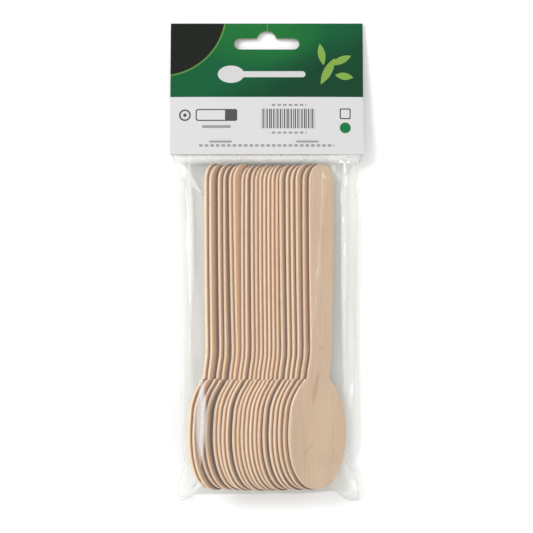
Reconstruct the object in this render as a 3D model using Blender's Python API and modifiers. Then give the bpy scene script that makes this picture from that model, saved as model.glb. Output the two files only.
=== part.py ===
"""Retail pack of flat wooden spoons: a clear film bag, a folded header card and two staples.

The pack lies on its back. +X is to the right, +Y is towards the folded top of the header card,
+Z is up, and the origin is under the middle of the pack, on the surface that it lies on.
Units are metres and radians.
"""

import math

import bmesh
import bpy
from mathutils import Matrix, Vector

# --- header card -----------------------------------------------------------------------------
CARD_WIDTH = 0.0945
CARD_TOP_Y = 0.1177          # outside of the fold
CARD_BOTTOM_Y = 0.0525       # lower edges of both panels
CARD_THICKNESS = 0.0004
CARD_GAP = 0.0013            # clear space between the two panels, for the flattened bag mouth
CARD_RISE = 0.0085           # how much higher the lower edges lie than the fold
FOLD_STEPS = 8

SLOT_LENGTH = 0.032          # euro hang slot
SLOT_HEIGHT = 0.0055
SLOT_BUMP_RADIUS = 0.0049
SLOT_BUMP_RISE = 0.0037      # top of the bump above the top of the slot
SLOT_Y = 0.1071              # middle of the straight slot
CUT_HEIGHT = 0.008           # cutters reach well past both panels

# --- staples ---------------------------------------------------------------------------------
STAPLE_WIDTH = 0.0112
STAPLE_WIRE_RADIUS = 0.00028
STAPLE_EDGE_DISTANCE = 0.0062    # crown above the card's lower edge
STAPLE_X = {"left": -0.0226, "right": 0.0198}
STAPLE_LEG_FOLD = 0.0042         # bent length of each leg, behind the card
STAPLE_HOLE = 0.0012
STAPLE_BEND = 0.0005             # size of the bends at the crown's ends and behind
STAPLE_CLEARANCE = 0.0002

# --- spoons ----------------------------------------------------------------------------------
SPOON_COUNT = 21
SPOON_LENGTH = 0.158
SPOON_THICKNESS = 0.0013
TIP_HALF_WIDTH = 0.00735
NECK_HALF_WIDTH = 0.0058
BOWL_HALF_WIDTH = 0.0172
BOWL_LENGTH = 0.0535
BOWL_POWER = 2.15                # 2 is an ellipse, more is squarer
TIP_ROUND = 0.0085               # length of the rounded handle end
LEFT_NECK_BLEND = 0.0055         # softness of the two corners between handle and bowl
RIGHT_NECK_BLEND = 0.0022
LEFT_FLARE = 0.0012              # the left side bends out a little earlier than the right one
FLARE_PEAK = 0.0010              # most of all this far above the bowl's end
FLARE_RISE = 0.0120
FLARE_FALL = 0.0045
HANDLE_SHIFT = 0.0022            # the handle's middle line lies to the right of the bowl's
SHIFT_START = 0.013              # the shift begins this far inside the bowl
SHIFT_LENGTH = 0.030
DISH_DEPTH = 0.0004
END_HALF_WIDTH = 0.0004          # the outline closes on short straight ends
SPOON_COLUMNS = 4

ROW_END_X = 0.0245               # middle of the last spoon's bowl
ROW_Y = -0.0310                  # middle of the spoons' length
ROW_FLOOR_Z = 0.00085            # lowest edge of the bowls, above the bag's underside
ROW_TILT = math.radians(46.5)    # lean of the middle spoons, with their left edges raised
ROW_SLOPE = math.radians(2.0)    # the handles slope down towards their ends
ROW_GAP = 0.00016                # free space between neighbours, across their faces
WIDE_GAPS = {4: 0.0004, 5: 0.0013, 9: 0.0008, 16: 0.0003, 17: 0.0006}
STEEP_START = {1: 6, 2: 5}       # degrees added to the tilt of the first spoons
FLAT_END = {17: 0.8, 18: 2.0, 19: 3.7, 20: 6.2, 21: 10.5}   # degrees taken from the last ones
END_LIFT = {17: 0.0002, 18: 0.0006, 19: 0.0012, 20: 0.0021, 21: 0.0039}
HANDLE_TURNS = {1: 0.0, 5: -0.7, 7: 0.6, 9: 0.3, 16: -0.1, 20: 0.3}   # degrees, from this spoon on
TIP_SAG = 0.0006                 # the middle spoons sit lower in the bag than the outer ones

# --- film bag --------------------------------------------------------------------------------
FILM_WALL = 0.00025
BAG_MOUTH_Y = 0.0790             # hidden between the card's panels
BAG_MOUTH_INSIDE = 0.0004        # clear space between the two layers there
BAG_MOUTH_INSET = 0.0012         # the mouth is narrower than the card by this at each side
BAG_MOUTH_THIN = 0.75            # its height at the side edges, as a share of that in the middle
BAG_COLUMNS = 28

# the bag's shape along Y: (y, left x, right x, top height over the first and over the last
# spoon, and the places of those two heights)
BAG_STATIONS = [
    (-0.1177, -0.0440, 0.0458, 0.0016, 0.0016, -0.0340, 0.0200),
    (-0.1150, -0.0436, 0.0455, 0.0100, 0.0090, -0.0300, 0.0180),
    (-0.1118, -0.0432, 0.0450, 0.0262, 0.0238, -0.0345, 0.0150),
    (-0.1040, -0.0422, 0.0440, 0.0290, 0.0271, -0.0385, 0.0118),
    (-0.0860, -0.0418, 0.0429, 0.0303, 0.0280, -0.0394, 0.0108),
    (-0.0700, -0.0418, 0.0431, 0.0296, 0.0274, -0.0390, 0.0112),
    (-0.0500, -0.0418, 0.0434, 0.0240, 0.0218, -0.0355, 0.0180),
    (-0.0200, -0.0424, 0.0443, 0.0185, 0.0172, -0.0330, 0.0230),
    (0.0279, -0.0432, 0.0451, 0.0165, 0.0155, -0.0325, 0.0260),
    (0.0480, -0.0450, 0.0462, 0.0156, 0.0142, -0.0340, 0.0260),
]
BAG_END_BACK = 0.0057            # the middle of the bottom edge lies this much further in
BAG_EAR_X = 0.0300               # from here outwards the bottom edge runs down to its corners
BAG_EAR_WIDTH = 0.012
BAG_END_REACH = 0.0067           # and the pull fades out over this length
LEFT_SEAM_SHARE = 0.35           # the side seams lie at these shares of the top heights
RIGHT_SEAM_SHARE = 0.20
BAG_FLAT_SHARE = 0.62            # part of the width that lies flat on the surface
BAG_LIFT_START_Y = 0.0440        # from here the underside climbs to the card's lower edge
BAG_LIFT_END_Y = 0.0515
BAG_LIFT = 0.0080
SHOULDER_POWER = 2.5             # how square the bag is over the first spoon
SLOPE_CROWN = 0.25               # how round it is over the face of the last spoon
CLIMB_POWER = 2.5                # the underside climbs late and steeply
MOUTH_OUTSIDE = 0.0008           # the flat mouth starts this far outside the card


def startScene():
    """Empty the scene and return the collections for the parts and the cutters."""
    for item in list(bpy.data.objects):
        bpy.data.objects.remove(item)
    parts = bpy.data.collections.new("wooden_spoon_pack")
    cutters = bpy.data.collections.new("cutters")
    for collection in (parts, cutters):
        bpy.context.scene.collection.children.link(collection)
    return parts, cutters


def makeMaterial(name, colour, roughness, metallic=0.0, alpha=1.0):
    material = bpy.data.materials.new(name)
    material.use_nodes = True
    shader = material.node_tree.nodes["Principled BSDF"]
    shader.inputs["Base Color"].default_value = (*colour, 1.0)
    shader.inputs["Roughness"].default_value = roughness
    shader.inputs["Metallic"].default_value = metallic
    shader.inputs["Alpha"].default_value = alpha
    return material


def addObject(name, mesh, collection, material=None):
    item = bpy.data.objects.new(name, mesh)
    collection.objects.link(item)
    if material:
        mesh.materials.append(material)
    return item


def addSolidify(item, thickness, offset):
    modifier = item.modifiers.new("wall", "SOLIDIFY")
    modifier.thickness = thickness
    modifier.offset = offset
    modifier.use_even_offset = True


def addCut(item, cutter, solver="EXACT"):
    modifier = item.modifiers.new("cut", "BOOLEAN")
    modifier.operation = "DIFFERENCE"
    modifier.object = cutter
    modifier.solver = solver


def hideCutter(cutter):
    cutter.hide_render = True
    cutter.display_type = "WIRE"


def softMax(a, b, blend):
    """The larger of two lengths, with a rounded change between them."""
    return (a + b + math.sqrt((a - b) ** 2 + blend ** 2)) / 2


def smoothStep(value):
    value = min(max(value, 0.0), 1.0)
    return value * value * (3 - 2 * value)


# --- header card -----------------------------------------------------------------------------

def cardAngle():
    return math.asin(CARD_RISE / (CARD_TOP_Y - CARD_BOTTOM_Y))


def cardMatrix():
    """Card frame: X across, Y up the panels from their lower edges, Z out of the front."""
    thickness = 2 * CARD_THICKNESS + CARD_GAP
    foldMiddle = Vector((0, CARD_TOP_Y - thickness / 2, thickness / 2))
    turn = Matrix.Rotation(-cardAngle(), 4, "X")
    return Matrix.Translation(foldMiddle) @ turn @ Matrix.Translation((0, -cardLength(), 0))


def cardLength():
    """From the lower edges to the middle of the fold's arc."""
    thickness = 2 * CARD_THICKNESS + CARD_GAP
    return (CARD_TOP_Y - thickness / 2 - CARD_BOTTOM_Y) / math.cos(cardAngle())


def slotPoints():
    """Outline of the euro slot round its own middle, counter-clockwise."""
    radius = SLOT_HEIGHT / 2
    reach = SLOT_LENGTH / 2 - radius
    bumpMiddle = radius + SLOT_BUMP_RISE - SLOT_BUMP_RADIUS
    points = []
    for step in range(9):
        angle = -math.pi / 2 + math.pi * step / 8
        points.append((reach + radius * math.cos(angle), radius * math.sin(angle)))
    start = math.asin(max(-1.0, (radius - bumpMiddle) / SLOT_BUMP_RADIUS))
    for step in range(11):
        angle = start + (math.pi - 2 * start) * step / 10
        points.append((SLOT_BUMP_RADIUS * math.cos(angle), bumpMiddle + SLOT_BUMP_RADIUS * math.sin(angle)))
    for step in range(9):
        angle = math.pi / 2 + math.pi * step / 8
        points.append((-reach + radius * math.cos(angle), radius * math.sin(angle)))
    return points


def makeSlotCutter(cutters):
    """A prism with the slot's outline, standing through both panels."""
    build = bmesh.new()
    corners = [build.verts.new((x, y, -CUT_HEIGHT / 2)) for x, y in slotPoints()]
    face = build.faces.new(corners)
    sweep = bmesh.ops.extrude_face_region(build, geom=[face])
    top = [part for part in sweep["geom"] if isinstance(part, bmesh.types.BMVert)]
    bmesh.ops.translate(build, verts=top, vec=(0, 0, CUT_HEIGHT))
    bmesh.ops.recalc_face_normals(build, faces=build.faces)
    mesh = bpy.data.meshes.new("slot_cutter")
    build.to_mesh(mesh)
    build.free()
    cutter = addObject("slot_cutter", mesh, cutters)
    middle = (SLOT_Y - CARD_BOTTOM_Y) / math.cos(cardAngle())
    cutter.matrix_world = cardMatrix() @ Matrix.Translation((0, middle, 0))
    hideCutter(cutter)
    return cutter


def makeHoleCutters(cutters):
    """One small box for each staple leg, through card and film."""
    holes = []
    for side, middle in STAPLE_X.items():
        for end in (-1, 1):
            build = bmesh.new()
            size = Matrix.Diagonal((STAPLE_HOLE, STAPLE_HOLE, CUT_HEIGHT, 1))
            bmesh.ops.create_cube(build, size=1.0, matrix=size)
            mesh = bpy.data.meshes.new("staple_hole")
            build.to_mesh(mesh)
            build.free()
            cutter = addObject(f"staple_hole_{side}_{'a' if end < 0 else 'b'}", mesh, cutters)
            x = middle + end * (STAPLE_WIDTH / 2 - STAPLE_WIRE_RADIUS)
            cutter.matrix_world = cardMatrix() @ Matrix.Translation((x, STAPLE_EDGE_DISTANCE, 0))
            hideCutter(cutter)
            holes.append(cutter)
    return holes


def makeHeaderCard(parts, cuts):
    """One sheet, folded over at the top: the middle surface of both panels and the fold."""
    radius = (CARD_GAP + CARD_THICKNESS) / 2
    length = cardLength()
    profile = [(0.0, radius)]
    for step in range(FOLD_STEPS + 1):
        angle = math.pi / 2 - math.pi * step / FOLD_STEPS
        profile.append((length + radius * math.cos(angle), radius * math.sin(angle)))
    profile.append((0.0, -radius))

    build = bmesh.new()
    line = [build.verts.new((-CARD_WIDTH / 2, y, z)) for y, z in profile]
    edges = [build.edges.new(pair) for pair in zip(line, line[1:])]
    sweep = bmesh.ops.extrude_edge_only(build, edges=edges)
    moved = [part for part in sweep["geom"] if isinstance(part, bmesh.types.BMVert)]
    bmesh.ops.translate(build, verts=moved, vec=(CARD_WIDTH, 0, 0))
    bmesh.ops.recalc_face_normals(build, faces=build.faces)
    mesh = bpy.data.meshes.new("header_card")
    build.to_mesh(mesh)
    build.free()
    material = makeMaterial("header_card", (0.05, 0.16, 0.09), 0.45)
    card = addObject("header_card", mesh, parts, material)
    card.matrix_world = cardMatrix()
    addSolidify(card, CARD_THICKNESS, 0.0)
    for cutter in cuts:
        addCut(card, cutter)
    return card


# --- staples ---------------------------------------------------------------------------------

def makeStaple(side, parts, material):
    """Bent wire: crown on the front panel, legs through the pack, ends folded in behind."""
    half = STAPLE_WIDTH / 2 - STAPLE_WIRE_RADIUS
    front = CARD_GAP / 2 + CARD_THICKNESS + STAPLE_CLEARANCE + STAPLE_WIRE_RADIUS
    back = -front
    halfPath = [(half - STAPLE_LEG_FOLD, back), (half - STAPLE_BEND, back), (half, back + STAPLE_BEND),
                (half, front - STAPLE_BEND), (half - STAPLE_BEND, front)]
    path = [(-x, z) for x, z in halfPath] + [(x, z) for x, z in reversed(halfPath)]

    curve = bpy.data.curves.new(f"staple_{side}", "CURVE")
    curve.dimensions = "3D"
    curve.bevel_depth = STAPLE_WIRE_RADIUS
    curve.bevel_resolution = 2
    curve.use_fill_caps = True
    spline = curve.splines.new("POLY")
    spline.points.add(len(path) - 1)
    for point, (x, z) in zip(spline.points, path):
        point.co = (x, 0, z, 1)
    wire = addObject(f"staple_{side}_wire", curve, parts)
    wire.matrix_world = cardMatrix() @ Matrix.Translation((STAPLE_X[side], STAPLE_EDGE_DISTANCE, 0))
    bpy.context.view_layer.update()

    shape = bpy.context.evaluated_depsgraph_get()
    mesh = bpy.data.meshes.new_from_object(wire.evaluated_get(shape))
    build = bmesh.new()
    build.from_mesh(mesh)
    bmesh.ops.remove_doubles(build, verts=build.verts, dist=0.000001)
    bmesh.ops.recalc_face_normals(build, faces=build.faces)
    build.to_mesh(mesh)
    build.free()
    mesh.materials.clear()
    staple = addObject(f"staple_{side}", mesh, parts, material)
    staple.matrix_world = wire.matrix_world.copy()
    mesh.shade_smooth()
    bpy.data.objects.remove(wire)
    return staple


# --- spoons ----------------------------------------------------------------------------------

def handleHalfWidth(y):
    """Handle: tapers down to the neck and ends in a round tip; it fades out inside the bowl."""
    top = SPOON_LENGTH / 2
    neckY = -top + BOWL_LENGTH
    along = (y - neckY) / (top - TIP_ROUND - neckY)
    widening = math.sin(math.pi / 2 * min(max(along, 0.0), 1.0))
    width = NECK_HALF_WIDTH + (TIP_HALF_WIDTH - NECK_HALF_WIDTH) * widening
    if y > top - TIP_ROUND:
        width *= math.sqrt(max(0.0, 1 - ((y - top + TIP_ROUND) / TIP_ROUND) ** 2))
    if y < neckY:
        width *= smoothStep(1 - (neckY - y) / (BOWL_LENGTH / 2))
    return width


def bowlHalfWidth(y):
    middle = -SPOON_LENGTH / 2 + BOWL_LENGTH / 2
    share = abs(y - middle) / (BOWL_LENGTH / 2)
    if share >= 1:
        return 0.0
    return BOWL_HALF_WIDTH * (1 - share ** BOWL_POWER) ** (1 / BOWL_POWER)


def spoonSides(y):
    """Places of the left edge, the middle line and the right edge across the spoon."""
    handle = handleHalfWidth(y)
    bowl = bowlHalfWidth(y)
    share = smoothStep(min(handle, bowl) / NECK_HALF_WIDTH * 2)
    left, right = [max(END_HALF_WIDTH, softMax(handle, bowl, blend * share))
                   for blend in (LEFT_NECK_BLEND, RIGHT_NECK_BLEND)]
    neckY = -SPOON_LENGTH / 2 + BOWL_LENGTH
    past = y - neckY - FLARE_PEAK
    left += LEFT_FLARE * (1 - smoothStep(past / FLARE_RISE if past > 0 else -past / FLARE_FALL))
    middle = HANDLE_SHIFT * smoothStep((y - neckY + SHIFT_START) / SHIFT_LENGTH)
    return middle - left, middle, middle + right


def spoonRows():
    """Places along the spoon, closer together round the tip, the neck and the bowl's ends."""
    top = SPOON_LENGTH / 2
    neckY = -top + BOWL_LENGTH
    rows = [top - TIP_ROUND * (1 - math.cos(math.radians(angle))) for angle in (0, 22, 45, 68, 90)]
    rows += [0.035, 0.0, neckY + 0.0115, neckY + 0.0082, neckY + 0.0055, neckY + 0.0028, neckY + 0.0008]
    rows += [-top + BOWL_LENGTH / 2 * (1 + math.cos(math.radians(angle)))
             for angle in (12, 24, 38, 54, 72, 90, 108, 126, 142, 156, 168, 180)]
    return rows


def dishDepth(across, y):
    """The bowl is pressed in very slightly; its rim and the handle stay flat."""
    middle = -SPOON_LENGTH / 2 + BOWL_LENGTH / 2
    share = min(1.0, abs(y - middle) / (BOWL_LENGTH / 2))
    return DISH_DEPTH * (1 - share ** 2) * (1 - across ** 2)


def makeSpoonMesh():
    rows = spoonRows()
    build = bmesh.new()
    bmesh.ops.create_grid(build, x_segments=SPOON_COLUMNS, y_segments=len(rows) - 1, size=0.5)
    for vertex in build.verts:
        across = vertex.co.x * 2
        row = rows[round((0.5 - vertex.co.y) * (len(rows) - 1))]
        left, middle, right = spoonSides(row)
        vertex.co.x = middle + across * (right - middle if across > 0 else middle - left)
        vertex.co.y = row
        vertex.co.z = -dishDepth(across, row)
    bmesh.ops.recalc_face_normals(build, faces=build.faces)
    mesh = bpy.data.meshes.new("spoon")
    build.to_mesh(mesh)
    build.free()
    return mesh


def spoonPlaces():
    """Each spoon leans on the one before it: (tilt, bowl middle x, bowl middle z)."""
    places = []
    for number in range(1, SPOON_COUNT + 1):
        tilt = ROW_TILT + math.radians(STEEP_START.get(number, 0.0) - FLAT_END.get(number, 0.0))
        lift = END_LIFT.get(number, 0.0)
        z = ROW_FLOOR_Z + lift + BOWL_HALF_WIDTH * math.sin(tilt) + SPOON_THICKNESS / 2 * math.cos(tilt)
        x = 0.0
        if places:
            lastTilt, lastX, lastZ = places[-1]
            apart = SPOON_THICKNESS + ROW_GAP + WIDE_GAPS.get(number, 0.0)
            rise = z + BOWL_HALF_WIDTH * math.sin(tilt) - lastZ
            x = lastX + BOWL_HALF_WIDTH * math.cos(tilt)
            x += (apart - rise * math.cos(lastTilt)) / math.sin(lastTilt)
        places.append((tilt, x, z))
    shift = ROW_END_X - places[-1][1]
    return [(tilt, x + shift, z) for tilt, x, z in places]


def handleTurn(number):
    """Swing of the handle to the right, in the plane of the spoon."""
    return math.radians(HANDLE_TURNS[max(first for first in HANDLE_TURNS if first <= number)])


def makeSpoons(parts, material):
    mesh = makeSpoonMesh()
    mesh.materials.append(material)
    bowlMiddle = -SPOON_LENGTH / 2 + BOWL_LENGTH / 2
    for number, (tilt, x, z) in enumerate(spoonPlaces(), start=1):
        along = (number - 1) / (SPOON_COUNT - 1)
        slide = -TIP_SAG * math.sin(math.pi * along) + 0.0003 * math.sin(2.4 * number)
        spoon = addObject(f"spoon_{number:02d}", mesh, parts)
        place = Matrix.Translation((x, ROW_Y + bowlMiddle + slide, z))
        lean = Matrix.Rotation(-ROW_SLOPE, 4, "X") @ Matrix.Rotation(tilt, 4, "Y")
        turn = Matrix.Rotation(-handleTurn(number), 4, "Z") @ Matrix.Translation((0, -bowlMiddle, 0))
        spoon.matrix_world = place @ lean @ turn
        addSolidify(spoon, SPOON_THICKNESS, 0.0)


# --- film bag --------------------------------------------------------------------------------

def blendStations(y):
    """The outline values of the bag at one place along Y."""
    if y <= BAG_STATIONS[0][0]:
        return BAG_STATIONS[0][1:]
    for low, high in zip(BAG_STATIONS, BAG_STATIONS[1:]):
        if y <= high[0]:
            share = (y - low[0]) / (high[0] - low[0])
            return [a + (b - a) * share for a, b in zip(low[1:], high[1:])]
    return BAG_STATIONS[-1][1:]


def bagHeights(across, y):
    """Side to side place 0 to 1 -> (x, z of the bag's top, z of its underside)."""
    left, right, leftTop, rightTop, leftAt, rightAt = blendStations(y)
    x = left + (right - left) * across
    middle = (left + right) / 2
    seam = LEFT_SEAM_SHARE * leftTop if x < middle else RIGHT_SEAM_SHARE * rightTop
    if x < leftAt:
        share = 1 - (x - left) / (leftAt - left)
        top = seam + (leftTop - seam) * (1 - share ** SHOULDER_POWER) ** (1 / SHOULDER_POWER)
    elif x < rightAt:
        top = leftTop + (rightTop - leftTop) * (x - leftAt) / (rightAt - leftAt)
    else:
        share = (x - rightAt) / (right - rightAt)
        top = rightTop + (seam - rightTop) * (share + SLOPE_CROWN * (share ** 3 - share))
    out = max(0.0, abs(x - middle) / ((right - left) / 2) - BAG_FLAT_SHARE) / (1 - BAG_FLAT_SHARE)
    climb = min(max((y - BAG_LIFT_START_Y) / (BAG_LIFT_END_Y - BAG_LIFT_START_Y), 0.0), 1.0)
    return x, top, max(seam * out ** 2, BAG_LIFT * climb ** CLIMB_POWER)


def bagRows():
    rows = [station[0] for station in BAG_STATIONS]
    rows += [-0.1135, -0.1080, -0.0950, -0.0600, -0.0350, 0.0040, 0.0400]
    return sorted(rows)


def bagPoint(across, y, under):
    """A point of the bag's outer surface, with the bottom edge drawn in at its middle."""
    x, top, low = bagHeights(across, y)
    corner = smoothStep((abs(x) - BAG_EAR_X) / BAG_EAR_WIDTH)
    end = BAG_STATIONS[0][0]
    pull = BAG_END_BACK * (1 - corner) * max(0.0, 1 - (y - end) / BAG_END_REACH)
    return Vector((x, y + pull, low if under else top))


def mouthPoint(across, step, under):
    """Between the card's panels the bag is flat and follows their slope."""
    along = -MOUTH_OUTSIDE + step * (BAG_MOUTH_Y - CARD_BOTTOM_Y + MOUTH_OUTSIDE) / 3
    half = CARD_WIDTH / 2 - BAG_MOUTH_INSET
    x = -half + 2 * half * across
    outside = BAG_MOUTH_INSIDE / 2 + FILM_WALL
    edge = 1 - (2 * across - 1) ** 8
    z = outside * (BAG_MOUTH_THIN + (1 - BAG_MOUTH_THIN) * edge)
    return cardMatrix() @ Vector((x, along, -z if under else z))


def makeFilmBag(parts, cuts):
    """A tube of film with rings along Y, closed by its flat bottom edge and open at the mouth.

    Each ring runs over the top from left to right and back along the underside.
    """
    rows = bagRows()
    rings = []
    for y in rows:
        over = [bagPoint(step / BAG_COLUMNS, y, False) for step in range(BAG_COLUMNS + 1)]
        back = [bagPoint(step / BAG_COLUMNS, y, True) for step in range(1, BAG_COLUMNS)]
        rings.append(over + back[::-1])
    for step in range(4):
        over = [mouthPoint(place / BAG_COLUMNS, step, False) for place in range(BAG_COLUMNS + 1)]
        back = [mouthPoint(place / BAG_COLUMNS, step, True) for place in range(1, BAG_COLUMNS)]
        rings.append(over + back[::-1])

    build = bmesh.new()
    first = [build.verts.new(point) for point in rings[0]]
    for place in range(BAG_COLUMNS):
        corners = (first[place], first[place + 1], first[-(place + 1) % len(first)], first[-place])
        build.faces.new(list(dict.fromkeys(corners)))
    last = first
    for ring in rings[1:]:
        current = [build.verts.new(point) for point in ring]
        for place in range(len(ring)):
            following = (place + 1) % len(ring)
            build.faces.new((last[place], last[following], current[following], current[place]))
        last = current
    bmesh.ops.recalc_face_normals(build, faces=build.faces)
    mesh = bpy.data.meshes.new("film_bag")
    build.to_mesh(mesh)
    build.free()
    material = makeMaterial("film_bag", (0.92, 0.93, 0.92), 0.12, alpha=0.3)
    bag = addObject("film_bag", mesh, parts, material)
    addSolidify(bag, FILM_WALL, -1.0)
    for cutter in cuts:
        addCut(bag, cutter, "MANIFOLD")      # the exact solver empties this thin double wall
    return bag


def main():
    parts, cutters = startScene()
    slot = makeSlotCutter(cutters)
    holes = makeHoleCutters(cutters)
    makeHeaderCard(parts, [slot, *holes])
    makeFilmBag(parts, holes)
    steel = makeMaterial("staple_steel", (0.55, 0.54, 0.52), 0.35, 1.0)
    for side in STAPLE_X:
        makeStaple(side, parts, steel)
    makeSpoons(parts, makeMaterial("birch", (0.62, 0.47, 0.34), 0.6))


main()
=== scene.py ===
import math

import bmesh
import bpy
from mathutils import Matrix, Vector, noise


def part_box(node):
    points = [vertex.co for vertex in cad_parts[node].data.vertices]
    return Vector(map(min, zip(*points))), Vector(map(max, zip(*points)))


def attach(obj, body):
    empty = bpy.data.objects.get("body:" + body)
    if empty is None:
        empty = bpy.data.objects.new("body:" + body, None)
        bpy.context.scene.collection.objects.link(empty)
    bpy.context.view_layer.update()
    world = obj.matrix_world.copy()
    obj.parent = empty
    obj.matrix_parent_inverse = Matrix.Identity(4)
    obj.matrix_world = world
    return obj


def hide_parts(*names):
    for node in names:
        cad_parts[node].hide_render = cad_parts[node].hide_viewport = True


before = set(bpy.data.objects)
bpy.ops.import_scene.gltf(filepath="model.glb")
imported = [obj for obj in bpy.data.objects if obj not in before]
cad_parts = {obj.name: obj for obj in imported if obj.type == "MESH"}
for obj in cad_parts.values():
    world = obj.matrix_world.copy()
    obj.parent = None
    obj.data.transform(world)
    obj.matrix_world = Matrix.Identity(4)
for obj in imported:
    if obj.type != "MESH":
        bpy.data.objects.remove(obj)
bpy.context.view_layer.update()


# Python expressions on a Value become Math nodes
class Value:
    def __init__(self, tree, socket):
        self.tree = tree
        self.socket = socket

    def math(self, operation, *others, clamp=False):
        inputs = dict(enumerate((self, *others)))
        return addNode(self.tree, "ShaderNodeMath", {"operation": operation, "use_clamp": clamp}, inputs)

    def __add__(self, other):
        return self.math("ADD", other)

    def __sub__(self, other):
        return self.math("SUBTRACT", other)

    def __rsub__(self, other):
        return addNode(self.tree, "ShaderNodeMath", {"operation": "SUBTRACT"}, {0: other, 1: self})

    def __mul__(self, other):
        return self.math("MULTIPLY", other)

    def __truediv__(self, other):
        return self.math("DIVIDE", other)

    def __pow__(self, other):
        return self.math("POWER", other)

    def __abs__(self):
        return self.math("ABSOLUTE")

    __radd__ = __add__
    __rmul__ = __mul__

    def least(self, other):
        return self.math("MINIMUM", other)

    def most(self, other):
        return self.math("MAXIMUM", other)

    def sine(self):
        return self.math("SINE")

    def clamped(self):
        return self.math("ADD", 0.0, clamp=True)


def addNode(tree, kind, settings=None, inputs=None, output=0):
    node = tree.nodes.new(kind)
    for name, value in (settings or {}).items():
        if name == "stops":
            ramp = node.color_ramp
            while len(ramp.elements) < len(value):
                ramp.elements.new(0.5)
            for element, (place, colour) in zip(ramp.elements, value):
                element.position = place
                element.color = (*colour, 1.0)
        else:
            setattr(node, name, value)
    for name, value in (inputs or {}).items():
        if isinstance(value, Value):
            tree.links.new(value.socket, node.inputs[name])
        else:
            node.inputs[name].default_value = value
    return Value(tree, node.outputs[output])


def startMaterial(name, **constants):
    material = bpy.data.materials.new(name)
    material.use_nodes = True
    tree = material.node_tree
    shader = tree.nodes["Principled BSDF"]
    for socket, value in constants.items():
        shader.inputs[socket.replace("_", " ")].default_value = value
    return material, tree, shader


def plug(value, shader, socket):
    value.tree.links.new(value.socket, shader.inputs[socket])


def blend(factor, first, second):
    colours = {}
    for name, colour in ((6, first), (7, second)):
        colours[name] = colour if isinstance(colour, Value) else (*colour, 1.0)
    settings = {"data_type": "RGBA"}
    return addNode(factor.tree, "ShaderNodeMix", settings, {0: factor, **colours}, 2)


def noiseAt(tree, place, scale, detail=2.0, roughness=0.5):
    inputs = {"Vector": place, "Scale": scale, "Detail": detail, "Roughness": roughness}
    return addNode(tree, "ShaderNodeTexNoise", None, inputs)


def stretched(tree, place, factors):
    return addNode(tree, "ShaderNodeVectorMath", {"operation": "MULTIPLY"}, {0: place, 1: factors})


def bumpFrom(height, strength, distance):
    inputs = {"Height": height, "Strength": strength, "Distance": distance}
    return addNode(height.tree, "ShaderNodeBump", None, inputs)


def srgb(*levels):
    linear = []
    for level in levels:
        share = level / 255
        linear.append(share / 12.92 if share <= 0.04045 else ((share + 0.055) / 1.055) ** 2.4)
    return tuple(linear)


def smoothStep(value):
    value = min(max(value, 0.0), 1.0)
    return value * value * (3 - 2 * value)


def addPiece(name, build, materials):
    mesh = bpy.data.meshes.new(name)
    build.to_mesh(mesh)
    build.free()
    for material in materials:
        mesh.materials.append(material)
    piece = bpy.data.objects.new(name, mesh)
    bpy.context.scene.collection.objects.link(piece)
    return piece


def bakeModifiers(piece):
    # the finished mesh, with no modifier left on it
    bpy.context.view_layer.update()
    shape = piece.evaluated_get(bpy.context.evaluated_depsgraph_get())
    finished = bpy.data.meshes.new_from_object(shape)
    piece.modifiers.clear()
    piece.data = finished


def addWall(piece, thickness, offset, inner=0, rim=0):
    wall = piece.modifiers.new("wall", "SOLIDIFY")
    wall.thickness = thickness
    wall.offset = offset
    wall.use_even_offset = True
    wall.material_offset = inner
    wall.material_offset_rim = rim


def claim(piece, slot, *nodes):
    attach(piece, "root")
    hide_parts(*nodes)


birch = {
    "face": srgb(199, 169, 139),
    "deep": srgb(178, 145, 113),
    "pale": srgb(211, 185, 156),
    # the next three colours are painted shade between the spoons: the visible face strip darkening towards
    # the next spoon, then dark brown where that spoon lies on it
    "shadedStrip": srgb(200, 156, 114),
    "shadedStripDeep": srgb(150, 98, 60),
    "gap": srgb(52, 26, 12),
    "edge": srgb(231, 206, 177),
    "edgeDeep": srgb(206, 168, 130),
    "fleck": srgb(150, 112, 80),
    "stain": srgb(168, 122, 88),
}


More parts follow.
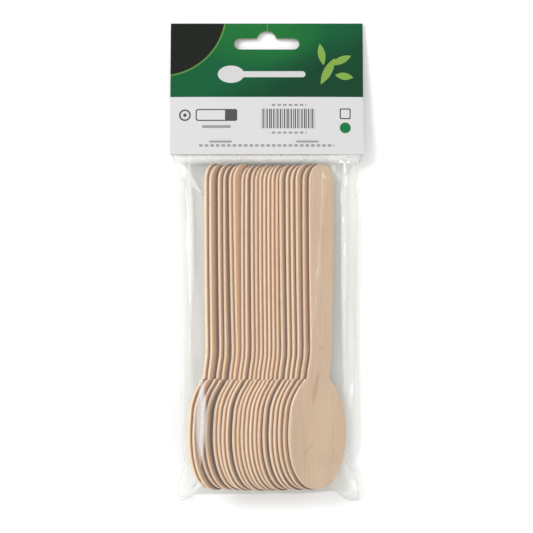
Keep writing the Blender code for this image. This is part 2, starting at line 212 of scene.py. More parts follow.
def makeBirchFace():
    material, tree, shader = startMaterial("birchFace", Roughness=0.55, Specular_IOR_Level=0.35)
    grain = addNode(tree, "ShaderNodeUVMap", {"uv_map": "grain"})
    tone = addNode(tree, "ShaderNodeAttribute", {"attribute_name": "tone"}, None, 2)
    broad = noiseAt(tree, stretched(tree, grain, (9.0, 1.6, 1.0)), 1.0, 3.0)
    streak = noiseAt(tree, stretched(tree, grain, (120.0, 3.0, 1.0)), 1.0, 4.0, 0.6)
    fine = noiseAt(tree, stretched(tree, grain, (420.0, 14.0, 1.0)), 1.0, 3.0, 0.7)
    pore = noiseAt(tree, stretched(tree, grain, (260.0, 26.0, 1.0)), 1.0, 1.0)
    figure = (broad * 0.9 + streak * 0.8 + fine * 0.5 + tone * 0.7 - 1.0).clamped()
    colour = addNode(tree, "ShaderNodeValToRGB", {"stops": [
        (0.0, birch["deep"]), (0.42, birch["face"]), (1.0, birch["pale"])]}, {0: figure})
    # painted shade between the spoons: each face but the last darkens from its edge towards the next spoon
    # and turns dark brown where that spoon lies on it, more in the bowl
    covered = addNode(tree, "ShaderNodeAttribute", {"attribute_name": "covered"}, None, 2)
    shadedStrip = addNode(tree, "ShaderNodeValToRGB", {"stops": [
        (0.2, birch["shadedStrip"]), (0.6, birch["shadedStripDeep"]), (1.0, birch["gap"])]}, {0: covered})
    colour = blend((covered * 8.0).clamped() * (0.8 + fine * 0.2), colour, shadedStrip)
    dots = ((pore - 0.66) * 9.0).clamped() * 0.45
    colour = blend(dots, colour, birch["fleck"])

    # marks in the grain of the last spoon, in millimetres from the middle of its bowl
    x = (addNode(tree, "ShaderNodeSeparateXYZ", None, {0: grain}) - grainShift(spoons["count"]).x) * 100.0
    along = addNode(tree, "ShaderNodeSeparateXYZ", None, {0: grain}, 1) - grainShift(spoons["count"]).y
    y = along * 100.0 - bowlMiddle * 1000
    spindle = leafMask(x, y, (-1.5, 22.5), 18.0, 2.6, math.radians(79), 1.1) * 0.42
    scratch = leafMask(x, y, (-5.0, -6.4), 13.4, 0.5, math.radians(44), 0.35) * 0.6
    knot = discMask(x, y, (1.4, 41.3), 0.8, 1.0) * 0.45
    streaks = boxMask(x, y, (9.5, -6.0), (0.25, 9.0), 0.2, 0.8) * 0.35
    marks = spindle.most(scratch).most(knot).most(streaks)
    plug(blend(marks, colour, birch["stain"]), shader, "Base Color")
    plug(0.48 + fine * 0.2, shader, "Roughness")
    plug(bumpFrom(streak * 0.5 + fine * 0.5 - dots * 0.6, 0.35, 0.0002), shader, "Normal")
    return material


def makeBirchEdge():
    material, tree, shader = startMaterial("birchEdge", Roughness=0.62, Specular_IOR_Level=0.3)
    grain = addNode(tree, "ShaderNodeUVMap", {"uv_map": "grain"})
    tone = addNode(tree, "ShaderNodeAttribute", {"attribute_name": "tone"}, None, 2)
    along = noiseAt(tree, stretched(tree, grain, (60.0, 30.0, 1.0)), 1.0, 4.0, 0.65)
    saw = noiseAt(tree, stretched(tree, grain, (200.0, 240.0, 1.0)), 1.0, 2.0)
    worn = ((along * 1.3 + tone * 0.5 - 0.55) * 0.8).clamped()
    plug(blend(worn, birch["edge"], birch["edgeDeep"]), shader, "Base Color")
    plug(bumpFrom(saw, 0.3, 0.0002), shader, "Normal")
    return material


# flat spoons, leaning on each other in a row
spoons = {
    "count": 21,
    "length": 0.158,
    "thickness": 0.0013,
    "tipHalfWidth": 0.00735,
    "neckHalfWidth": 0.0058,
    "bowlHalfWidth": 0.0172,
    "bowlLength": 0.0535,
    "bowlPower": 2.15,
    "tipRound": 0.0085,
    "leftNeckBlend": 0.0055,
    "rightNeckBlend": 0.0022,
    "leftFlare": 0.0012,
    "flarePeak": 0.0010,
    "flareRise": 0.0120,
    "flareFall": 0.0045,
    "handleShift": 0.0022,
    "shiftStart": 0.013,
    "shiftLength": 0.030,
    "dish": 0.0005,
    "endHalfWidth": 0.0003,
    "columns": 15,
    "gapShade": 0.0010,
    "edgeBevel": 0.00026,
}

row = {
    "endX": 0.0245,
    "middleY": -0.0310,
    "floorZ": 0.00085,
    "tilt": math.radians(46.5),
    "slope": math.radians(2.0),
    "gap": 0.00016,
    "wideGaps": {4: 0.0004, 5: 0.0013, 9: 0.0008, 16: 0.0003, 17: 0.0006},
    "steepStart": {1: 6, 2: 5},
    "flatEnd": {17: 0.8, 18: 2.0, 19: 3.7, 20: 6.2, 21: 10.5},
    "endLift": {17: 0.0002, 18: 0.0006, 19: 0.0012, 20: 0.0021, 21: 0.0039},
    "turns": {1: 0.0, 5: -0.7, 7: 0.6, 9: 0.3, 16: -0.1, 20: 0.3},
    "sag": 0.0006,
    "jitter": 0.0003,
}

spoonTop = spoons["length"] / 2
bowlMiddle = spoons["bowlLength"] / 2 - spoonTop
neckY = spoons["bowlLength"] - spoonTop


def softMax(a, b, blendLength):
    return (a + b + math.sqrt((a - b) ** 2 + blendLength ** 2)) / 2


def handleHalfWidth(y):
    along = min(max((y - neckY) / (spoonTop - spoons["tipRound"] - neckY), 0.0), 1.0)
    widening = (spoons["tipHalfWidth"] - spoons["neckHalfWidth"]) * math.sin(math.pi / 2 * along)
    width = spoons["neckHalfWidth"] + widening
    past = (y - spoonTop + spoons["tipRound"]) / spoons["tipRound"]
    if past > 0:
        width *= math.sqrt(max(0.0, 1 - past ** 2))
    if y < neckY:
        width *= smoothStep(1 - (neckY - y) / (spoons["bowlLength"] / 2))
    return width


def bowlHalfWidth(y):
    share = abs(y - bowlMiddle) / (spoons["bowlLength"] / 2)
    if share >= 1:
        return 0.0
    return spoons["bowlHalfWidth"] * (1 - share ** spoons["bowlPower"]) ** (1 / spoons["bowlPower"])


def spoonSides(y):
    # places of the left edge, the middle line and the right edge across the spoon
    handle = handleHalfWidth(y)
    bowl = bowlHalfWidth(y)
    share = smoothStep(min(handle, bowl) / spoons["neckHalfWidth"] * 2)
    blends = (spoons["leftNeckBlend"], spoons["rightNeckBlend"])
    left, right = [max(spoons["endHalfWidth"], softMax(handle, bowl, soft * share)) for soft in blends]
    past = y - neckY - spoons["flarePeak"]
    reach = past / spoons["flareRise"] if past > 0 else -past / spoons["flareFall"]
    left += spoons["leftFlare"] * (1 - smoothStep(reach))
    middle = spoons["handleShift"] * smoothStep((y - neckY + spoons["shiftStart"]) / spoons["shiftLength"])
    return middle - left, middle, middle + right


def spoonRows():
    # closer together where the outline turns
    half = spoons["bowlLength"] / 2
    rows = [spoonTop - spoons["tipRound"] * (1 - math.cos(math.pi / 2 * step / 12)) for step in range(13)]
    handleStart = spoonTop - spoons["tipRound"]
    rows += [handleStart + (neckY + 0.006 - handleStart) * step / 18 for step in range(1, 19)]
    rows += [neckY + 0.006 * (1 - step / 10) for step in range(1, 10)]
    rows += [bowlMiddle + half * math.cos(math.pi * (step / 46) ** 1.03) for step in range(1, 47)]
    return rows


def dishDepth(across, y):
    share = min(1.0, abs(y - bowlMiddle) / (spoons["bowlLength"] / 2))
    return spoons["dish"] * (1 - share ** 2) * (1 - across ** 2)


def columnPlace(column, y, toNext):
    # the first columns follow the edge of the next spoon, which lies on this one; the painted shade
    # between spoons darkens across them
    left, middle, right = spoonSides(y)
    width = right - left
    if toNext is None:
        return left + width * column / spoons["columns"]
    cover = (toNext @ Vector((left, y, -spoons["thickness"] / 2))).x - left
    inner = left + min(max(cover - spoons["gapShade"], 0.03 * width), 0.7 * width)
    outer = inner + min(spoons["gapShade"], 0.15 * width)
    if column < 2:
        return (left, inner)[column]
    return outer + (right - outer) * (column - 2) / (spoons["columns"] - 2)


def grainShift(number):
    # each spoon is cut from another part of the veneer
    return Vector((0.37 * number, 0.61 * number))


def buildSpoon(number, place, toNext):
    rows = spoonRows()
    build = bmesh.new()
    segments = len(rows) - 1
    bmesh.ops.create_grid(build, x_segments=spoons["columns"], y_segments=segments, size=0.5)
    grain = build.loops.layers.uv.new("grain")
    covered = build.verts.layers.float.new("covered")
    for vertex in build.verts:
        column = round((vertex.co.x + 0.5) * spoons["columns"])
        y = rows[round((0.5 - vertex.co.y) * segments)]
        x = columnPlace(column, y, toNext)
        left, middle, right = spoonSides(y)
        across = (x - middle) / (right - middle if x > middle else middle - left)
        vertex.co = (x, y, -dishDepth(across, y))
        if toNext is not None:
            # how much painted shade each column gets: light at the edge, deeper towards the next spoon,
            # full where it covers the face, weaker on the handle than in the bowl
            inBowl = smoothStep((neckY + 0.004 - y) / 0.016)
            vertex[covered] = min(1.0, 0.2 + 0.4 * column) * (0.74 + 0.26 * inBowl)
    for face in build.faces:
        for loop in face.loops:
            loop[grain].uv = Vector((loop.vert.co.x, loop.vert.co.y)) * 10 + grainShift(number)
    bmesh.ops.recalc_face_normals(build, faces=build.faces)
    bmesh.ops.transform(build, matrix=place, verts=build.verts)
    return build


def spoonPlaces():
    # each spoon leans on the one before it: tilt, and the middle of its bowl in x and z
    places = []
    half = spoons["bowlHalfWidth"]
    for number in range(1, spoons["count"] + 1):
        tilt = row["steepStart"].get(number, 0.0) - row["flatEnd"].get(number, 0.0)
        tilt = row["tilt"] + math.radians(tilt)
        z = row["floorZ"] + row["endLift"].get(number, 0.0)
        z += half * math.sin(tilt) + spoons["thickness"] / 2 * math.cos(tilt)
        x = 0.0
        if places:
            lastTilt, lastX, lastZ = places[-1]
            apart = spoons["thickness"] + row["gap"] + row["wideGaps"].get(number, 0.0)
            rise = z + half * math.sin(tilt) - lastZ
            x = lastX + half * math.cos(tilt)
            x += (apart - rise * math.cos(lastTilt)) / math.sin(lastTilt)
        places.append((tilt, x, z))
    shift = row["endX"] - places[-1][1]
    return [(tilt, x + shift, z) for tilt, x, z in places]


def addPointValue(piece, name, value):
    shade = piece.data.attributes.new(name, "FLOAT", "POINT")
    shade.data.foreach_set("value", [value] * len(piece.data.vertices))


def spoonMatrix(number, tilt, x, z):
    along = (number - 1) / (spoons["count"] - 1)
    turn = math.radians(row["turns"][max(first for first in row["turns"] if first <= number)])
    slide = row["jitter"] * math.sin(2.4 * number) - row["sag"] * math.sin(math.pi * along)
    place = Matrix.Translation((x, row["middleY"] + bowlMiddle + slide, z))
    place = place @ Matrix.Rotation(-row["slope"], 4, "X") @ Matrix.Rotation(tilt, 4, "Y")
    return place @ Matrix.Rotation(-turn, 4, "Z") @ Matrix.Translation((0, -bowlMiddle, 0))


def makeSpoons():
    face = makeBirchFace()
    edge = makeBirchEdge()
    places = [spoonMatrix(number, *place) for number, place in enumerate(spoonPlaces(), start=1)]
    for number, (place, following) in enumerate(zip(places, places[1:] + [None]), start=1):
        toNext = place.inverted() @ following if following else None
        name = f"spoon_{number:02d}"
        piece = addPiece(name + "_wood", buildSpoon(number, place, toNext), [face, edge])
        addWall(piece, spoons["thickness"], 0.0, 0, 1)
        bevel = piece.modifiers.new("edges", "BEVEL")
        bevel.width = spoons["edgeBevel"]
        bevel.segments = 2
        bevel.limit_method = "ANGLE"
        bevel.angle_limit = math.radians(50)
        bakeModifiers(piece)
        last = number == spoons["count"]
        addPointValue(piece, "tone", 0.5 if last else 0.5 + 0.5 * math.sin(5.1 * number + 0.8))
        piece.data.shade_smooth()
        piece.data.set_sharp_from_angle(angle=math.radians(40))
        claim(piece, "birch", name)
    print("spoons made")


cardLow, cardHigh = (Vector(corner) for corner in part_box("header_card"))
card = {
    "width": cardHigh.x - cardLow.x,
    "thickness": 0.0004,
    "gap": 0.0013,
    "rise": 0.0085,
    "droop": 0.0005,
    "columns": 48,
    "panelRows": 34,
    "foldRows": 10,
    "slotLength": 0.032,
    "slotHeight": 0.0055,
    "bumpRadius": 0.0049,
    "bumpRise": 0.0037,
    "slotY": 0.1071,
    "greenStart": 28.6,
}
cardStack = 2 * card["thickness"] + card["gap"]
cardAngle = math.asin(card["rise"] / (cardHigh.y - cardLow.y))
cardLength = (cardHigh.y - cardStack / 2 - cardLow.y) / math.cos(cardAngle)
cardMatrix = Matrix.Translation((0, cardHigh.y - cardStack / 2, cardStack / 2))
cardMatrix = cardMatrix @ Matrix.Rotation(-cardAngle, 4, "X") @ Matrix.Translation((0, -cardLength, 0))

printed = {
    "green": srgb(5, 82, 46),
    "greenLight": srgb(34, 118, 40),
    "greenDeep": srgb(6, 54, 32),
    "dark": srgb(18, 21, 16),
    "white": srgb(194, 194, 194),
    "ink": srgb(26, 28, 26),
    "grey": srgb(96, 98, 96),
    "leaf": srgb(130, 168, 72),
    "disc": srgb(14, 104, 58),
    "edge": srgb(178, 169, 164),
    "inside": srgb(205, 198, 188),
}


def cardPoint(x, along, out):
    # the panels droop a little towards their corners
    side = (2 * x / card["width"]) ** 4
    out -= card["droop"] * side * smoothStep(1.4 - 1.4 * along / cardLength)
    return cardMatrix @ Vector((x, along, out))


def slotOutline():
    radius = card["slotHeight"] / 2
    reach = card["slotLength"] / 2 - radius
    bumpMiddle = radius + card["bumpRise"] - card["bumpRadius"]
    start = math.asin((radius - bumpMiddle) / card["bumpRadius"])
    arcs = [(reach, 0, radius, -math.pi / 2, math.pi / 2),
            (0, bumpMiddle, card["bumpRadius"], start, math.pi - start),
            (-reach, 0, radius, math.pi / 2, 3 * math.pi / 2)]
    points = []
    for x, y, size, low, high in arcs:
        for step in range(25):
            angle = low + (high - low) * step / 24
            points.append((x + size * math.cos(angle), y + size * math.sin(angle)))
    return points


def makeSlotCutter():
    build = bmesh.new()
    reach = 0.004
    outline = [build.verts.new((x, y, -reach)) for x, y in slotOutline()]
    sweep = bmesh.ops.extrude_face_region(build, geom=[build.faces.new(outline)])
    top = [part for part in sweep["geom"] if isinstance(part, bmesh.types.BMVert)]
    bmesh.ops.translate(build, verts=top, vec=(0, 0, 2 * reach))
    middle = (card["slotY"] - cardLow.y) / math.cos(cardAngle)
    place = cardMatrix @ Matrix.Translation((0, middle, 0))
    bmesh.ops.transform(build, matrix=place, verts=build.verts)
    bmesh.ops.recalc_face_normals(build, faces=build.faces)
    return addPiece("slotCutter", build, [])


def cardProfile():
    # from the front panel's lower edge over the fold to the back panel's: sheet length, along, out
    radius = (card["gap"] + card["thickness"]) / 2
    profile = []
    for step in range(card["panelRows"]):
        along = cardLength * step / card["panelRows"]
        profile.append((along, along, radius))
    arc = math.pi * radius
    for step in range(card["foldRows"] + 1):
        angle = math.pi / 2 - math.pi * step / card["foldRows"]
        sheet = cardLength + arc * step / card["foldRows"]
        profile.append((sheet, cardLength + radius * math.cos(angle), radius * math.sin(angle)))
    for step in range(1, card["panelRows"] + 1):
        along = cardLength * (1 - step / card["panelRows"])
        profile.append((2 * cardLength + arc - along, along, -radius))
    return profile


def makeHeaderCard():
    profile = cardProfile()
    segments = len(profile) - 1
    build = bmesh.new()
    bmesh.ops.create_grid(build, x_segments=card["columns"], y_segments=segments, size=0.5)
    layout = build.loops.layers.uv.new("layout")
    sheet = {}
    for vertex in build.verts:
        x = vertex.co.x * card["width"]
        length, along, out = profile[round((vertex.co.y + 0.5) * segments)]
        sheet[vertex] = (x * 10 + 0.5, length * 10)
        vertex.co = cardPoint(x, along, out)
    for face in build.faces:
        for loop in face.loops:
            loop[layout].uv = sheet[loop.vert]
    if max(build.faces, key=lambda face: face.calc_center_median().z).normal.z < 0:
        bmesh.ops.reverse_faces(build, faces=build.faces)
    piece = addPiece("header_card_sheet", build, [makeCardPrint(), makeCardInside(), makeCardEdge()])
    addWall(piece, card["thickness"], 0.0, 1, 2)
    cutter = makeSlotCutter()
    cutter.data.materials.append(piece.data.materials[2])
    cut = piece.modifiers.new("slot", "BOOLEAN")
    cut.operation = "DIFFERENCE"
    cut.object = cutter
    cut.solver = "EXACT"
    cut.material_mode = "TRANSFER"
    bakeModifiers(piece)
    bpy.data.objects.remove(cutter)
    piece.data.shade_smooth()
    piece.data.set_sharp_from_angle(angle=math.radians(35))
    claim(piece, "printed_card", "header_card")
    print("header card made")


def discMask(x, y, middle, radius, soft=0.12):
    distance = ((x - middle[0]) ** 2.0 + (y - middle[1]) ** 2.0) ** 0.5
    return ((radius - distance) / soft + 0.5).clamped()


def boxMask(x, y, middle, half, corner=0.0, soft=0.12):
    right = abs(x - middle[0]) - (half[0] - corner)
    up = abs(y - middle[1]) - (half[1] - corner)
    outside = (right.most(0.0) ** 2.0 + up.most(0.0) ** 2.0) ** 0.5
    distance = outside + right.most(up).least(0.0) - corner
    return (0.5 - distance / soft).clamped()


def leafMask(x, y, middle, length, width, angle, soft=0.12):
    # almond shape: two arcs that meet in points
    turn, rise = math.cos(angle), math.sin(angle)
    along = ((x - middle[0]) * turn + (y - middle[1]) * rise) / (length / 2)
    across = (y - middle[1]) * turn - (x - middle[0]) * rise
    return (((1.0 - along * along) * (width / 2) - abs(across)) / soft + 0.5).clamped()


def makeCardPrint():
    material, tree, shader = startMaterial("cardPrint", Roughness=0.4, Specular_IOR_Level=0.2)
    layout = addNode(tree, "ShaderNodeUVMap", {"uv_map": "layout"})
    x = (addNode(tree, "ShaderNodeSeparateXYZ", None, {0: layout}) - 0.5) * 100.0
    sheet = addNode(tree, "ShaderNodeSeparateXYZ", None, {0: layout}, 1) * 100.0
    fold = (cardLength + math.pi * (card["gap"] + card["thickness"]) / 4) * 1000
    back = ((sheet - fold) / 0.05).clamped()
    y = fold - abs(sheet - fold)
    front = 1.0 - back

    # green field, lighter towards its top and deeper at the lower right
    glow = (1.0 - (((x + 4.0) / 34.0) ** 2.0 + ((y - 62.0) / 20.0) ** 2.0)).clamped()
    deep = (((x * 0.03) - (y - 46.0) * 0.06)).clamped()
    cloud = noiseAt(tree, layout, 3.0, 2.0)
    green = blend(glow * (0.25 + cloud * 0.5), printed["green"], printed["greenLight"])
    green = blend((deep * (0.5 + cloud * 0.8)).clamped(), green, printed["greenDeep"])

    # sprig of plain leaves and a pale spoon shape
    leaves = leafMask(x, y, (30.0, 41.5), 15.0, 4.2, math.radians(62))
    others = (((36.5, 47.0), 11.0, 25), ((27.0, 50.0), 11.0, 100), ((38.0, 39.0), 9.0, -8))
    for middle, length, angle in others:
        leaves = leaves.most(leafMask(x, y, middle, length, 3.6, math.radians(angle)))
    green = blend(leaves * front * 0.75, green, printed["leaf"])
    bowl = (((x + 17.5) / 6.6) ** 2.0 + ((y - 40.0) / 4.4) ** 2.0) ** 0.5
    figure = ((1.0 - bowl) * 30.0).clamped().most(boxMask(x, y, (2.5, 40.0), (16.5, 1.5), 1.5))
    green = blend(figure * front * 0.92, green, printed["white"])

    # near-black corner with a pale rim
    corner = discMask(x, y, (-52.0, 71.0), 31.5)
    rim = discMask(x, y, (-52.0, 71.0), 32.3) - corner
    green = blend(rim * front * 0.35, green, printed["leaf"])
    green = blend(corner * front, green, printed["dark"])
    crease = boxMask(x, y, (0.3, 63.5), (0.12, 3.4)) * 0.3
    green = blend(crease, green, printed["white"])

    # pale band with plain marks
    marks = discMask(x, y, (-40.0, 19.5), 2.9) - discMask(x, y, (-40.0, 19.5), 2.1)
    marks = marks.most(discMask(x, y, (-40.0, 19.5), 0.9))
    inside = boxMask(x, y, (-24.6, 19.6), (9.6, 2.4), 1.0)
    marks = marks.most(boxMask(x, y, (-24.6, 19.6), (10.2, 3.0), 1.4) - inside)
    marks = marks.most(boxMask(x, y, (-17.4, 19.6), (3.0, 3.0), 1.0))
    bars = (((x * 5.9).sine() + (x * 3.7 + 1.0).sine() * 0.8 + 0.1) * 6.0).clamped()
    marks = marks.most(bars * boxMask(x, y, (10.4, 17.8), (13.2, 4.9)))
    inside = boxMask(x, y, (38.4, 20.2), (2.1, 2.1), 0.4)
    marks = marks.most(boxMask(x, y, (38.4, 20.2), (2.7, 2.7), 0.8) - inside)
    dashes = (((x * 2.3).sine() + 0.55) * 5.0).clamped()
    lines = boxMask(x, y, (-24.6, 13.8), (7.0, 0.7))
    lines = lines.most(boxMask(x, y, (0.0, 4.4), (33.0, 0.6)) * dashes)
    lines = lines.most(boxMask(x, y, (10.4, 24.6), (9.0, 0.5)) * dashes)
    lines = lines.most(boxMask(x, y, (10.4, 10.8), (9.0, 0.5)) * dashes)
    band = blend(lines * front * 0.7, printed["white"], printed["grey"])
    band = blend(marks * front * 0.9, band, printed["ink"])
    band = blend(discMask(x, y, (38.4, 13.2), 2.7) * front, band, printed["disc"])

    colour = blend(((y - card["greenStart"]) / 0.12 + 0.5).clamped(), band, green)
    worn = boxMask(sheet, y, (fold, fold), (0.7, 0.7)) * noiseAt(tree, layout, 60.0, 3.0)
    colour = blend(worn * 0.35, colour, printed["white"])
    plug(colour, shader, "Base Color")
    plug(0.34 + noiseAt(tree, layout, 40.0, 3.0) * 0.16, shader, "Roughness")
    fibre = noiseAt(tree, layout, 300.0, 3.0, 0.6)
    wave = noiseAt(tree, layout, 9.0, 1.0)
    plug(bumpFrom(fibre * 0.05 + wave, 0.25, 0.0006), shader, "Normal")
    return material


def makeCardInside():
    material, tree, shader = startMaterial("cardInside", Roughness=0.8)
    layout = addNode(tree, "ShaderNodeUVMap", {"uv_map": "layout"})
    fibre = noiseAt(tree, layout, 180.0, 4.0, 0.7)
    plug(blend(fibre * 0.5, printed["inside"], printed["edge"]), shader, "Base Color")
    plug(bumpFrom(fibre, 0.3, 0.0001), shader, "Normal")
    return material


def makeCardEdge():
    material, tree, shader = startMaterial("cardEdge", Roughness=0.85)
    place = addNode(tree, "ShaderNodeTexCoord", None, None, 3)
    fibre = noiseAt(tree, place, 2200.0, 3.0, 0.7)
    plug(blend(fibre, printed["edge"], printed["inside"]), shader, "Base Color")
    plug(bumpFrom(fibre, 0.4, 0.0001), shader, "Normal")
    return material


# clear film bag round the spoons
film = {
    "wall": 0.00008,
    "columns": 104,
    "rows": 190,
    "mouthRows": 8,
    "mouthY": 0.0790,
    "mouthHeight": 0.00045,
    "leftSeam": 0.35,
    "rightSeam": 0.20,
    "shoulderPower": 2.5,
    "slopeCrown": 0.25,
    "flatShare": 0.62,
    "endBack": 0.0057,
    "endReach": 0.0067,
    "liftStart": 0.0440,
    "liftEnd": 0.0515,
    "lift": 0.0080,
    "sideFold": 0.00085,
    "creaseDepth": 0.00070,
    "crinkle": 0.00060,
    "cardCrinkle": 0.00030,
    "wave": 0.00016,
    "glareFold": 0.00055,
}

# top heights over the first and the last spoon and their places, along y
filmStations = [
    (-0.1177, 0.0016, 0.0016, -0.0340, 0.0200),
    (-0.1150, 0.0100, 0.0090, -0.0300, 0.0180),
    (-0.1118, 0.0258, 0.0236, -0.0345, 0.0150),
    (-0.1040, 0.0285, 0.0268, -0.0378, 0.0118),
    (-0.0860, 0.0296, 0.0275, -0.0386, 0.0108),
    (-0.0700, 0.0288, 0.0268, -0.0382, 0.0112),
    (-0.0500, 0.0232, 0.0214, -0.0355, 0.0180),
    (-0.0200, 0.0182, 0.0170, -0.0330, 0.0230),
    (0.0279, 0.0163, 0.0153, -0.0325, 0.0260),
    (0.0480, 0.0154, 0.0141, -0.0340, 0.0260),
]

# side edges of the bag, along y: pinched above its lower corners
leftEdge = [
    (-0.1177, -0.0440), (-0.1095, -0.0433), (-0.1034, -0.0412), (-0.0975, -0.0396), (-0.0872, -0.0414),
    (-0.0186, -0.0424), (0.0206, -0.0434), (0.0426, -0.0447), (0.0524, -0.0457),
]
rightEdge = [
    (-0.1177, 0.0458), (-0.1088, 0.0451), (-0.1019, 0.0430), (-0.0951, 0.0402), (-0.0872, 0.0429),
    (-0.0529, 0.0434), (-0.0186, 0.0443), (0.0279, 0.0451), (0.0382, 0.0441), (0.0426, 0.0449),
    (0.0524, 0.0466),
]


def readTable(table, y):
    if y <= table[0][0]:
        return table[0][1:]
    for low, high in zip(table, table[1:]):
        if y <= high[0]:
            past = (y - low[0]) / (high[0] - low[0])
            share = smoothStep(past) * 0.5 + 0.5 * past
            return [a + (b - a) * share for a, b in zip(low[1:], high[1:])]
    return table[-1][1:]


def ridge(value):
    # sharp crests and broad valleys, 0 to 1
    return (1 - abs(math.sin(math.pi * value))) ** 2.2


def wrinkle(x, y):
    # how far the film stands out of its plain shape; x and y in millimetres
    wander = noise.noise((x * 0.03, y * 0.022, 3.1))
    left = smoothStep((-31 - x) / 9)
    right = smoothStep((x - 31) / 9)
    near = 0.45 + 0.55 * noise.noise((x * 0.08, y * 0.03, 7.7))
    sides = ridge(x * 0.24 + 1.3 * wander + 0.004 * y) * (left + right) * max(0.0, near) * film["sideFold"]
    creases = 0.0
    for corner, spread in ((-46.0, (0.10, 0.26, 0.5, 0.9)), (46.5, (-0.06, -0.18, -0.42, -0.8))):
        for lean in spread:
            fall = 54.0 - y
            line = corner + lean * fall + 0.8 * noise.noise((lean * 9, y * 0.06, 1.0))
            fade = smoothStep(fall / 4) * smoothStep((44 - abs(lean) * 30 - fall) / 22)
            creases += math.exp(-((x - line) / 0.9) ** 2) * fade * film["creaseDepth"]
    low = smoothStep((-106 - y) / 6)
    bent = noise.noise((x * 0.11, y * 0.09, 5.0))
    crinkle = ridge(x * 0.11 + y * 0.05 + 1.6 * bent) * low * film["crinkle"]
    swing = 0.9 * noise.noise((x * 0.05, y * 0.1, 9.0))
    band = smoothStep((y - 36) / 10) * ridge(x * 0.13 + swing) * film["cardCrinkle"]
    waves = (0.5 + noise.noise((x * 0.06, y * 0.03, 2.0))) * film["wave"]
    fold = math.exp(-((x + 32.6 + 0.4 * wander) / 1.1) ** 2)
    fold *= smoothStep((-54 - y) / 8) * smoothStep((y + 96) / 8)
    return sides + creases + crinkle + band + waves + fold * film["glareFold"]


def filmPoint(across, y, under):
    leftTop, rightTop, leftAt, rightAt = readTable(filmStations, y)
    left = readTable(leftEdge, y)[0]
    right = readTable(rightEdge, y)[0]
    leftAt = max(leftAt, left + 0.0015)
    x = left + (right - left) * across
    middle = (left + right) / 2
    seam = film["leftSeam"] * leftTop if x < middle else film["rightSeam"] * rightTop
    if x < leftAt:
        share = min(1.0, 1 - (x - left) / (leftAt - left))
        top = seam + (leftTop - seam) * (1 - share ** film["shoulderPower"]) ** (1 / film["shoulderPower"])
    elif x < rightAt:
        top = leftTop + (rightTop - leftTop) * (x - leftAt) / (rightAt - leftAt)
    else:
        share = (x - rightAt) / (right - rightAt)
        top = rightTop + (seam - rightTop) * (share + film["slopeCrown"] * (share ** 3 - share))
    out = max(0.0, abs(x - middle) / ((right - left) / 2) - film["flatShare"]) / (1 - film["flatShare"])
    climb = min(max((y - film["liftStart"]) / (film["liftEnd"] - film["liftStart"]), 0.0), 1.0)
    low = max(seam * out ** 2, film["lift"] * climb ** 2.5)
    end = filmStations[0][0]
    corner = smoothStep((abs(x) - 0.030) / 0.012)
    pull = film["endBack"] * (1 - corner) * max(0.0, 1 - (y - end) / film["endReach"])
    if under:
        return Vector((x, y + pull, low))
    edge = smoothStep(across / 0.02) * smoothStep((1 - across) / 0.02)
    return Vector((x, y + pull, top + wrinkle(x * 1000, y * 1000) * edge))


def mouthPoint(across, share, under):
    along = -0.0008 + share * (film["mouthY"] - cardLow.y + 0.0008)
    half = card["width"] / 2 - 0.0012
    x = half * (2 * across - 1)
    out = film["mouthHeight"] * (0.75 + 0.25 * (1 - (2 * across - 1) ** 8))
    return cardPoint(x, along, -out if under else out)


def filmRing(step):
    columns = film["columns"]
    if step < film["rows"]:
        share = step / (film["rows"] - 1)
        low, high = filmStations[0][0], filmStations[-1][0]
        y = low + (high - low) * (0.75 * share + 0.25 * share ** 0.5 * share)
        over = [filmPoint(place / columns, y, False) for place in range(columns + 1)]
        back = [filmPoint(place / columns, y, True) for place in range(1, columns)]
    else:
        share = (step - film["rows"]) / (film["mouthRows"] - 1)
        over = [mouthPoint(place / columns, share, False) for place in range(columns + 1)]
        back = [mouthPoint(place / columns, share, True) for place in range(1, columns)]
    return over + back[::-1]


def makeFilmBag():
    # a ring of points swept along the bag: over the top from left to right, back underneath
    columns = film["columns"]
    build = bmesh.new()
    ring = [build.verts.new(point) for point in filmRing(0)]
    for place in range(columns):
        corners = (ring[place], ring[place + 1], ring[-(place + 1) % len(ring)], ring[-place])
        build.faces.new(list(dict.fromkeys(corners)))
    edges = [build.edges.get((first, second)) for first, second in zip(ring, ring[1:] + ring[:1])]
    for step in range(1, film["rows"] + film["mouthRows"]):
        sweep = bmesh.ops.extrude_edge_only(build, edges=edges)
        moved = [part for part in sweep["geom"] if isinstance(part, bmesh.types.BMVert)]
        edges = [part for part in sweep["geom"] if isinstance(part, bmesh.types.BMEdge)]
        for vertex, point in zip(moved, filmRing(step)):
            vertex.co = point
    bmesh.ops.recalc_face_normals(build, faces=build.faces)
    piece = addPiece("film_bag_sheet", build, [makeClearFilm()])
    addWall(piece, film["wall"], -1.0)
    bakeModifiers(piece)
    piece.data.shade_smooth()
    claim(piece, "clear_film", "film_bag")
    print("film bag made")


# painted highlights, pale streaks in the film where its folds catch the light: middle x and y, length and
# width in millimetres, angle, softness, strength
paintedFilmHighlights = [
    (-31.2, -76.0, 38.0, 4.2, 89, 1.6, 0.42),
    (-37.0, 12.0, 70.0, 2.6, 91, 1.6, 0.40),
    (38.0, 2.0, 110.0, 2.6, 90, 1.6, 0.40),
    (-38.5, 42.0, 22.0, 3.4, 128, 1.4, 0.35),
    (-35.0, -110.0, 14.0, 2.4, 48, 1.4, 0.35),
]


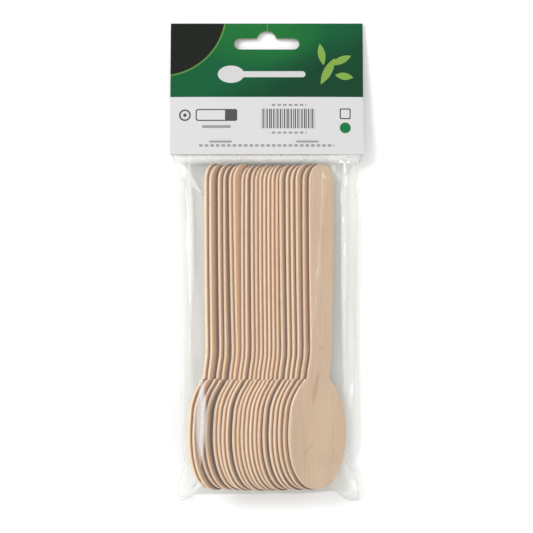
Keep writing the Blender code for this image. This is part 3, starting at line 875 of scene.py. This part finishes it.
def makeClearFilm():
    # mostly see-through; the rest is half haze and half mirror, more of it at a glancing angle
    material, tree, shader = startMaterial(
        "clearFilm", Metallic=0.35, Roughness=0.1, Base_Color=(0.97, 0.97, 0.96, 1.0))
    place = addNode(tree, "ShaderNodeTexCoord", None, None, 3)
    slack = noiseAt(tree, stretched(tree, place, (90.0, 28.0, 90.0)), 1.0, 2.0, 0.5)
    crackle = noiseAt(tree, stretched(tree, place, (420.0, 200.0, 420.0)), 1.0, 2.0)
    plug(0.06 + crackle * 0.08, shader, "Roughness")
    normal = bumpFrom(slack + crackle * 0.08, 0.3, 0.0010)
    plug(normal, shader, "Normal")
    glance = addNode(tree, "ShaderNodeLayerWeight", None, {"Blend": 0.06, "Normal": normal})
    clear = addNode(tree, "ShaderNodeBsdfTransparent", None, {0: (0.992, 0.993, 0.986, 1.0)})
    x = addNode(tree, "ShaderNodeSeparateXYZ", None, {0: place}) * 1000.0
    y = addNode(tree, "ShaderNodeSeparateXYZ", None, {0: place}, 1) * 1000.0
    broken = noiseAt(tree, stretched(tree, place, (700.0, 90.0, 700.0)), 1.0, 3.0)
    # painted highlights: a pale band under the card's lower edge lifts the shade there, and the listed
    # streaks add haze and mirror where the film catches the light
    streak = boxMask(x, y, (0.0, 51.5), (46.0, 2.6), 2.0, 3.0) * 0.4
    for middleX, middleY, length, width, angle, soft, strength in paintedFilmHighlights:
        leaf = leafMask(x, y, (middleX, middleY), length, width, math.radians(angle), soft)
        streak = streak.most(leaf * strength)
    share = (glance * 0.5 + 0.05 + streak * (0.4 + broken)).clamped()
    body = Value(tree, shader.outputs[0])
    mixed = addNode(tree, "ShaderNodeMixShader", None, {0: share, 1: clear, 2: body})
    tree.links.new(mixed.socket, tree.nodes["Material Output"].inputs["Surface"])
    return material


def finishStaples():
    # the staples keep their CAD shape
    material, tree, shader = startMaterial("stapleWire", Metallic=1.0, Roughness=0.3)
    place = addNode(tree, "ShaderNodeTexCoord", None, None, 3)
    drawn = noiseAt(tree, stretched(tree, place, (300.0, 2500.0, 2500.0)), 1.0, 2.0)
    plug(blend(drawn, srgb(196, 194, 190), srgb(150, 146, 140)), shader, "Base Color")
    plug(0.22 + drawn * 0.2, shader, "Roughness")
    plug(bumpFrom(drawn, 0.2, 0.0001), shader, "Normal")
    for side in ("left", "right"):
        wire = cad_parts[f"staple_{side}"]
        wire.data.materials.clear()
        wire.data.materials.append(material)
    print("staples finished")


stage = {
    "cameraHeight": 0.800,
    "cameraX": -0.0001,
    "cameraY": -0.0022,
    "viewWidth": 0.2633,
    "floor": 3.0,
    "ambient": 0.84,
}


def makeStage():
    build = bmesh.new()
    bmesh.ops.create_grid(build, x_segments=2, y_segments=2, size=stage["floor"] / 2)
    bmesh.ops.translate(build, verts=build.verts, vec=(0, 0, -0.00005))
    material, tree, shader = startMaterial("paleFloor", Roughness=0.9, Specular_IOR_Level=0.1)
    place = addNode(tree, "ShaderNodeTexCoord", None, None, 3)
    grainy = noiseAt(tree, place, 30.0, 2.0)
    plug(blend(grainy, (0.93, 0.93, 0.93), (0.92, 0.92, 0.92)), shader, "Base Color")
    addPiece("floor", build, [material])

    world = bpy.data.worlds.new("studio")
    world.use_nodes = True
    world.node_tree.nodes["Background"].inputs["Color"].default_value = (1.0, 1.0, 1.0, 1.0)
    world.node_tree.nodes["Background"].inputs["Strength"].default_value = stage["ambient"]
    bpy.context.scene.world = world
    bpy.context.scene.view_settings.view_transform = "Standard"


def addLight(name, place, target, width, height, power, mirrored=True):
    light = bpy.data.lights.new(name, "AREA")
    light.shape = "RECTANGLE"
    light.size = width
    light.size_y = height
    light.energy = power
    lamp = bpy.data.objects.new(name, light)
    lamp.location = place
    lamp.visible_glossy = mirrored
    lamp.rotation_euler = (Vector(target) - Vector(place)).to_track_quat("-Z", "Y").to_euler()
    bpy.context.scene.collection.objects.link(lamp)


def makeLights():
    addLight("keyLight", (-0.75, 0.55, 1.05), (0, 0, 0), 0.42, 0.42, 8.5, False)
    addLight("sideStrip", (-1.0, -0.1, 0.75), (0, 0, 0), 1.2, 0.07, 3.2)
    addLight("rightStrip", (1.0, 0.0, 0.9), (0, 0, 0), 1.2, 0.12, 3.0)


def makeCamera():
    lens = bpy.data.cameras.new("camera")
    lens.sensor_width = 36
    lens.lens = 36 * stage["cameraHeight"] / stage["viewWidth"]
    lens.clip_start = 0.05
    camera = bpy.data.objects.new("camera", lens)
    camera.location = (stage["cameraX"], stage["cameraY"], stage["cameraHeight"])
    bpy.context.scene.collection.objects.link(camera)
    bpy.context.scene.camera = camera


makeCamera()
makeStage()
makeLights()
makeSpoons()
makeHeaderCard()
makeFilmBag()
finishStaples()
